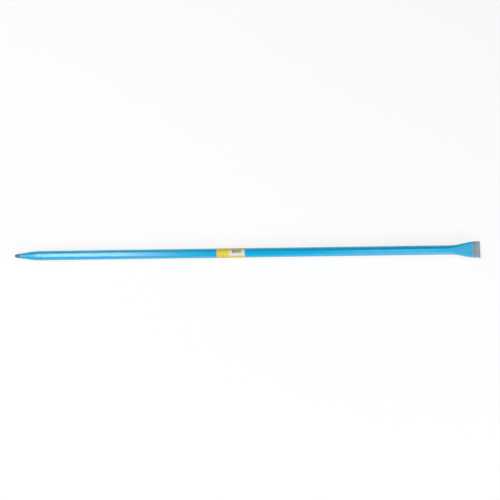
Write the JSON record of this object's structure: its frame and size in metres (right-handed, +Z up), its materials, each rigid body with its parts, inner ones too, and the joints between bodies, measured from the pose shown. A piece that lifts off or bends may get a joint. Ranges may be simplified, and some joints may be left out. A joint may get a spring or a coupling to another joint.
{
  "type": "digging bar",
  "caption": "Long round steel bar, painted blue, with a blunt bare point at one end and a broad flared chisel with a bare ground edge at the other, and a yellow label wrapped round its shaft.",
  "frame": {"origin": "under the middle of the bar's length, on the surface that the bar lies on", "axes": "+X along the bar from the point to the chisel edge, +Y across the blade, +Z up and square to the blade's flats"},
  "size_m": [1.5, 0.054, 0.0302],
  "materials": {
    "blue_paint": "sky blue enamel, sprayed or dipped, semi-gloss",
    "bare_steel": "bare hardened steel, ground",
    "yellow_label": "printed label stock, satin",
    "white_sticker": "white label stock, satin"
  },
  "bodies": {
    "root": {"shaft": "blue_paint", "point_head": "blue_paint", "point_bit": "bare_steel", "point_weld": "blue_paint", "chisel_head": "blue_paint", "chisel_bit": "bare_steel", "chisel_weld": "blue_paint", "label_wrap": "yellow_label", "label_panel": "white_sticker"}
  },
  "joints": []
}
